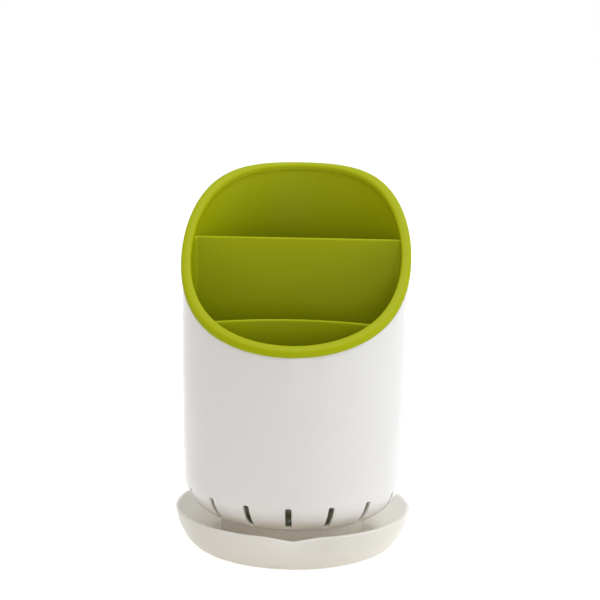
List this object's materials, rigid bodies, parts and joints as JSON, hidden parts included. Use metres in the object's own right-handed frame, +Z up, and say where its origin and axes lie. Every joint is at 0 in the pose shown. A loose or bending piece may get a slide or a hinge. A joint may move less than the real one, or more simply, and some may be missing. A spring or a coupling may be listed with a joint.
{
  "type": "cutlery and chopstick drainer",
  "caption": "Round drainer for chopsticks and cutlery: slotted white case standing in a lipped drip tray, with a lift-out green liner split by dividers under a sloping mouth.",
  "frame": {"origin": "middle of the tray's base, on the axis of the round case", "axes": "+Z up, -Y towards the low front of the mouth and the tray's pouring lip, +X to the right seen from the front"},
  "size_m": [0.126, 0.1289, 0.2],
  "materials": {
    "tray_plastic": "smooth moulded, off-white",
    "case_plastic": "glossy moulded, white",
    "liner_plastic": "satin moulded, lime green"
  },
  "bodies": {
    "tray": {"drip_tray": "tray_plastic"},
    "case": {"outer_body": "case_plastic"},
    "liner": {"inner_liner": "liner_plastic"}
  },
  "joints": [
    {"name": "body_lift", "type": "slide", "parent": "tray", "child": "case", "axis": [0, 0, 1], "range_m": [0, 0.06]},
    {"name": "liner_lift", "type": "slide", "parent": "case", "child": "liner", "axis": [0, 0, 1], "range_m": [0, 0.2]}
  ]
}
